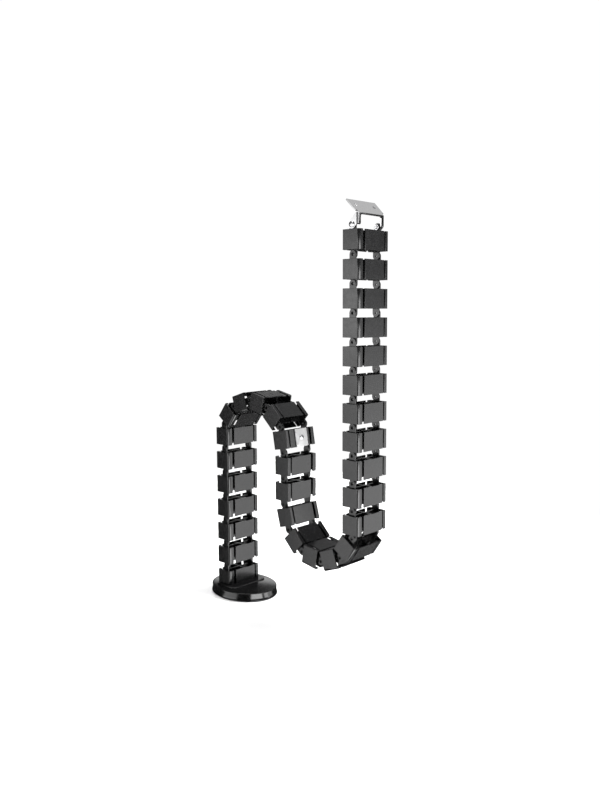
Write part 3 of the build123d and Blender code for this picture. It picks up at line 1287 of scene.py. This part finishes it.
@dataclass
class DeskBracket:
    """The folded bracket at the chain's upper end, with its pivot bolts and nuts."""

    path: ChainPath
    shape: LinkShape
    finishes: Finishes
    nodes: dict[str, bpy.types.Object]
    edge: float = 0.18 * MM
    edge_turn: float = 50.0
    flat_turn: float = 1.0
    weld: float = 0.003 * MM
    flat_from: float = 1.0 * MM
    fold: tuple[float, float] = (10.5 * MM, 16.6 * MM)
    tilt: float = 45.0
    neck: float = 4.3 * MM
    plate_width: float = 65 * MM
    plate_length: float = 24 * MM
    plate_corner: float = 0.6 * MM
    hole_radius: float = 2.5 * MM
    hole_spacing: float = 41 * MM
    sheet_thick: float = 1.8 * MM
    arm_outer: float = 31 * MM
    head_radius: float = 4.4 * MM
    head_height: float = 2.6 * MM
    nut_across: float = 8 * MM
    nut_thick: float = 2.4 * MM
    nut_rim: float = 0.05 * MM
    nut_chamfer: tuple[float, float] = (1 * MM, 0.5 * MM)
    bolt_tip: float = 1.2 * MM

    def square_corners(self, sheet: bpy.types.Object) -> None:
        """Fills out the corners of the sheet's sloping plate, and drills its two holes again.

        Args:
            sheet: the folded sheet.
        """
        along = Vector((0, 1, 0))
        normal = Matrix.Rotation(math.radians(self.tilt), 3, "Y") @ Vector((0, 0, 1))
        turn = Matrix((along, normal.cross(along), normal)).transposed().to_4x4()
        fold = Matrix.Translation(self.path.top() + Vector((self.fold[0], 0, self.fold[1]))) @ turn
        half, far = self.plate_width / 2, self.neck + self.plate_length
        corners = [(half, far), (-half, far), (-half, self.neck), (half, self.neck)]
        outline = round_corners([(x, y, self.plate_corner) for x, y in corners], 3)
        form = Form()
        form.sharp_slab(outline, -self.sheet_thick, 0.0, fold)
        combine(sheet, form.finish("plate"), Blend.JOIN)
        for side in Side:
            across, middle = side.value * self.hole_spacing / 2, (self.neck + far) / 2
            hole = circle(self.hole_radius, x=across, y=middle)
            form = Form()
            form.sharp_slab(hole, -self.sheet_thick - CLEAR, CLEAR, fold)
            combine(sheet, form.finish("hole"), Blend.CUT)

    def sheet(self) -> bpy.types.Object:
        """The folded sheet, with its edges broken.

        Returns:
            The sheet as one closed object.
        """
        sheet = bpy.data.objects.new("desk_bracket", self.nodes["bracket"].data.copy())
        bpy.context.scene.collection.objects.link(sheet)
        work = bmesh.new()
        work.from_mesh(sheet.data)
        bmesh.ops.remove_doubles(work, verts=work.verts, dist=self.weld)
        flat = math.radians(self.flat_turn)
        bmesh.ops.dissolve_limit(work, angle_limit=flat, verts=work.verts, edges=work.edges)
        work.to_mesh(sheet.data)
        work.free()
        self.square_corners(sheet)
        broken = sheet.modifiers.new("edges", "BEVEL")
        broken.width = self.edge
        broken.segments = 2
        broken.limit_method = "ANGLE"
        broken.angle_limit = math.radians(self.edge_turn)
        settle(sheet)
        soften(sheet, self.flat_from)
        return sheet

    def outward(self, side: Side) -> Matrix:
        """The bolt's line on one side, with Z pointing away from the bracket's middle."""
        turn = Matrix.Rotation(-side.value * math.pi / 2, 4, "X")
        return Matrix.Translation(self.path.top()) @ turn

    def build(self) -> None:
        """Makes the sheet, the two bolts and the two nuts."""
        hand_over(self.sheet(), "bracket", ["bracket"], self.finishes.sheet)
        head = ScrewHead(self.head_radius, self.head_height)
        inner = self.shape.outer_face - self.shape.lug_thick
        tip = inner - self.nut_thick - self.bolt_tip
        radius = self.shape.pin_radius
        for side in Side:
            name, outward = side.name.lower(), self.outward(side)
            place = outward @ Matrix.Translation((0, 0, self.arm_outer))
            plain_end = inner - self.nut_thick - self.arm_outer
            shank = threaded(radius, tip - self.arm_outer, plain_end)
            bolt = head.build(f"pivot_bolt_{name}", place, shank + [(radius, 0.0)])
            hand_over(bolt, "bracket", ["bracket_bolts"], self.finishes.fastener)
            nut = self.nut(f"lock_nut_{name}", outward @ Matrix.Translation((0, 0, inner)))
            hand_over(nut, "bracket", ["bracket_nuts"], self.finishes.fastener)

    def nut(self, name: str, place: Matrix) -> bpy.types.Object:
        """One hexagon nut under its seat, with its corners turned down.

        Args:
            name: name of the object.
            place: the nut's seat, with Z away from the nut.

        Returns:
            The nut as one closed object.
        """
        corner, low = self.nut_across / math.sqrt(3), -self.nut_thick
        inset, rise = self.nut_chamfer
        form = Form()
        form.slab(circle(corner, 6), low, 0.0, self.nut_rim, 1, place)
        nut = form.finish(name)
        form = Form()
        turned_down = [(0, low - CLEAR), (self.nut_across / 2 - inset, low - CLEAR),
                       (corner, low + rise), (corner, CLEAR), (0, CLEAR)]
        form.turned(turned_down, 48, place)
        combine(nut, form.finish("turned_down"), Blend.KEEP_SHARED)
        form = Form()
        form.sharp_slab(circle(self.shape.pin_radius), low - CLEAR, CLEAR, place)
        combine(nut, form.finish("hole"), Blend.CUT)
        soften(nut, self.flat_from, crease=25)
        return nut


# The studio


@dataclass(frozen=True)
class Softbox:
    """A soft rectangular lamp that isn't mirrored in the object."""

    name: str
    place: tuple[float, float, float]
    aim: tuple[float, float, float]
    width: float
    height: float
    power: float
    spread: float = 180.0

    def build(self) -> None:
        """Hangs the lamp in the studio."""
        data = bpy.data.lights.new(self.name, "AREA")
        data.shape = "RECTANGLE"
        data.size = self.width
        data.size_y = self.height
        data.energy = self.power
        data.spread = math.radians(self.spread)
        lamp = bpy.data.objects.new(self.name, data)
        bpy.context.scene.collection.objects.link(lamp)
        heading = Vector(self.aim) - Vector(self.place)
        lamp.location = self.place
        lamp.rotation_euler = heading.to_track_quat("-Z", "Y").to_euler()
        lamp.visible_glossy = False


@dataclass(frozen=True)
class Glow:
    """A soft bright field in the room round the object.

    Angles are in degrees: the azimuth from +X towards +Y, and the elevation above the horizon.
    """

    azimuth: float
    elevation: float
    half_width: float
    half_height: float
    blur: float
    fade: float
    radiance: float


class Room:
    """The bright and dark fields of the room, as the object's surfaces see them."""

    def __init__(self, world: bpy.types.World) -> None:
        """Starts an empty room.

        Args:
            world: the scene's world, which gets the room's nodes.
        """
        world.use_nodes = True
        self.tree = world.node_tree
        self.tree.nodes.clear()
        heading = self.tree.nodes.new("ShaderNodeTexCoord").outputs["Generated"]
        parts = self.tree.nodes.new("ShaderNodeSeparateXYZ")
        self.tree.links.new(heading, parts.inputs[0])
        self.azimuth = self.math("ARCTAN2", parts.outputs[1], parts.outputs[0])
        self.elevation = self.math("ARCSINE", parts.outputs[2])

    def math(self, way: str, *values: bpy.types.NodeSocket | float) -> bpy.types.NodeSocket:
        """One step of arithmetic.

        Args:
            way: name of the step.
            values: sockets or fixed numbers that go in.

        Returns:
            The socket with the result.
        """
        node = self.tree.nodes.new("ShaderNodeMath")
        node.operation = way
        for socket, value in zip(node.inputs, values):
            if isinstance(value, bpy.types.NodeSocket):
                self.tree.links.new(value, socket)
            else:
                socket.default_value = value
        return node.outputs[0]

    def window(self, angle: bpy.types.NodeSocket, middle: float, half: float,
               blur: float) -> bpy.types.NodeSocket:
        """A soft window over one angle: 1 inside, 0 outside.

        Args:
            angle: the angle, in radians.
            middle: middle of the window, in degrees.
            half: half of its width, in degrees.
            blur: width of its soft edge, in degrees.

        Returns:
            The socket with the share, from 0 to 1.
        """
        off = self.math("SUBTRACT", angle, math.radians(middle))
        off = self.math("WRAP", off, math.pi, -math.pi)
        node = self.tree.nodes.new("ShaderNodeMapRange")
        node.interpolation_type = "SMOOTHSTEP"
        node.inputs["From Min"].default_value = math.radians(half + blur / 2)
        node.inputs["From Max"].default_value = math.radians(half - blur / 2)
        self.tree.links.new(self.math("ABSOLUTE", off), node.inputs["Value"])
        return node.outputs[0]

    def fill(self, ambient: float, glows: Sequence[Glow], seen: float) -> None:
        """Lights the room.

        Args:
            ambient: radiance between the bright fields.
            glows: the bright fields.
            seen: radiance of the backdrop where the camera looks straight at it.
        """
        total: bpy.types.NodeSocket | float = ambient
        for glow in glows:
            across = self.window(self.azimuth, glow.azimuth, glow.half_width, glow.blur)
            up = self.window(self.elevation, glow.elevation, glow.half_height, glow.fade)
            share = self.math("MULTIPLY", across, up)
            total = self.math("ADD", self.math("MULTIPLY", share, glow.radiance), total)
        direct = self.tree.nodes.new("ShaderNodeLightPath").outputs["Is Camera Ray"]
        back = self.tree.nodes.new("ShaderNodeMix")
        back.data_type = "FLOAT"
        self.tree.links.new(direct, back.inputs["Factor"])
        self.tree.links.new(total, back.inputs[2])
        back.inputs[3].default_value = seen
        light = self.tree.nodes.new("ShaderNodeBackground")
        light.inputs["Color"].default_value = (1, 1, 1, 1)
        self.tree.links.new(back.outputs[0], light.inputs["Strength"])
        output = self.tree.nodes.new("ShaderNodeOutputWorld")
        self.tree.links.new(light.outputs[0], output.inputs[0])


@dataclass
class Studio:
    """A pale floor, soft lamps, a room with soft bright fields and the camera."""

    eye: tuple[float, float, float] = (1.017, -0.896, 0.4935)
    look: tuple[float, float, float] = (-0.6658, 0.7371, -0.1157)
    lens: float = 35.24
    shift: tuple[float, float] = (-0.0389, 0.0034)
    floor_size: float = 1.8
    floor_thick: float = 0.02
    floor_rim: float = 0.001
    floor_dark: float = 0.9
    floor_light: float = 0.93
    floor_roughness: float = 0.9
    ambient: float = 0.03
    backdrop: float = 1.02
    glows: Sequence[Glow] = (
        Glow(0, 90, 180, 30, 8, 8, 4.8),  # the ceiling
        Glow(-114.5, -34, 20, 41.5, 5, 12, 2.2),  # in the end walls, except the farthest column's
        Glow(-114.5, 0.5, 20, 4, 5, 6, 1.9),  # in the end walls of the column's upper half
        Glow(-21.5, -40, 24.5, 41, 6, 14, 9.0),  # bright line on the rounded corners
        Glow(24, -40, 11, 41, 6, 14, 6.0),  # second line beside it
        Glow(49, -29, 15, 26, 14, 18, 2.3),  # in the broad panels, darker in the topmost links
        Glow(39, 4, 6, 8, 4, 6, 3.6),  # in the panel that leans back above the lower fold
        Glow(92, -45, 12, 10, 6, 8, 0.28),  # on the undersides of both folds
        Glow(126, 29, 8, 7, 6, 6, 0.22),  # on the bottom of the lower fold
        Glow(83, 42, 6, 8, 6, 6, 0.35),  # on the falling side of the arch
        Glow(131, 15, 14, 4, 4, 4, 1.6),  # on the top of the arch
        Glow(102, 37, 12, 10, 6, 6, 0.7),  # in the bracket's plate
    )
    lamps: Sequence[Softbox] = (
        Softbox("floor_box", place=(0.8, 0.9, 1.1), aim=(0.5, 0.6, 0), width=0.7, height=0.7,
                power=24, spread=120),
    )

    def camera(self) -> None:
        """Sets the camera where the photograph was taken from."""
        data = bpy.data.cameras.new("camera")
        data.lens = self.lens
        data.shift_x, data.shift_y = self.shift
        data.clip_start = 0.01
        view = bpy.data.objects.new("camera", data)
        bpy.context.scene.collection.objects.link(view)
        view.location = self.eye
        view.rotation_euler = Vector(self.look).to_track_quat("-Z", "Y").to_euler()
        bpy.context.scene.camera = view

    def floor(self) -> None:
        """Lays the pale floor under the foot; the object mirrors the room below instead of it."""
        form = Form()
        half = self.floor_size / 2
        corners = [(half, half), (-half, half), (-half, -half), (half, -half)]
        form.slab([Vector(point) for point in corners], -self.floor_thick, 0.0, self.floor_rim, 1)
        ground = form.finish("floor")
        nodes = Nodes("pale_floor")
        nodes.shader.inputs["Roughness"].default_value = self.floor_roughness
        shade = nodes.shades(nodes.noise(nodes.place, 3), (self.floor_dark,) * 3,
                             (self.floor_light,) * 3)
        nodes.drive("Base Color", shade)
        add, join = nodes.tree.nodes.new, nodes.tree.links.new
        path, clear = add("ShaderNodeLightPath"), add("ShaderNodeBsdfTransparent")
        mix = add("ShaderNodeMixShader")
        join(path.outputs["Is Glossy Ray"], mix.inputs[0])
        join(nodes.shader.outputs[0], mix.inputs[1])
        join(clear.outputs[0], mix.inputs[2])
        join(mix.outputs[0], nodes.output.inputs[0])
        dress(ground, nodes.material)
        ground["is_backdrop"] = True

    def build(self) -> None:
        """Sets up the whole studio."""
        bpy.context.scene.view_settings.view_transform = "Standard"
        self.camera()
        self.floor()
        bpy.context.scene.world = bpy.data.worlds.new("room")
        Room(bpy.context.scene.world).fill(self.ambient, self.glows, self.backdrop)
        for lamp in self.lamps:
            lamp.build()


def main(build_size: Callable[[], tuple[Vector, Vector]]) -> None:
    """Builds the studio and the object in order.

    Args:
        build_size: measures the whole object as it stands.
    """
    logging.basicConfig(level=logging.INFO, format="%(message)s")
    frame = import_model()
    solid_size = build_size()
    Studio().build()
    finishes = Finishes.make()
    path, shape = ChainPath(), LinkShape()
    Foot(finishes).build()
    Chain(path, shape, finishes).build()
    LinkPlate(path, shape, finishes).build()
    DeskBracket(path, shape, finishes, frame["nodes"]).build()
    dress(frame["nodes"]["base_weight"], finishes.weight)
    for name in ("base_link_screws", "base_weight_screws"):
        dress(frame["nodes"][name], finishes.fastener)
    sizes = {"cad": solid_size, "visual": build_size()}


if __name__ == "__main__":
    main(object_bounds)
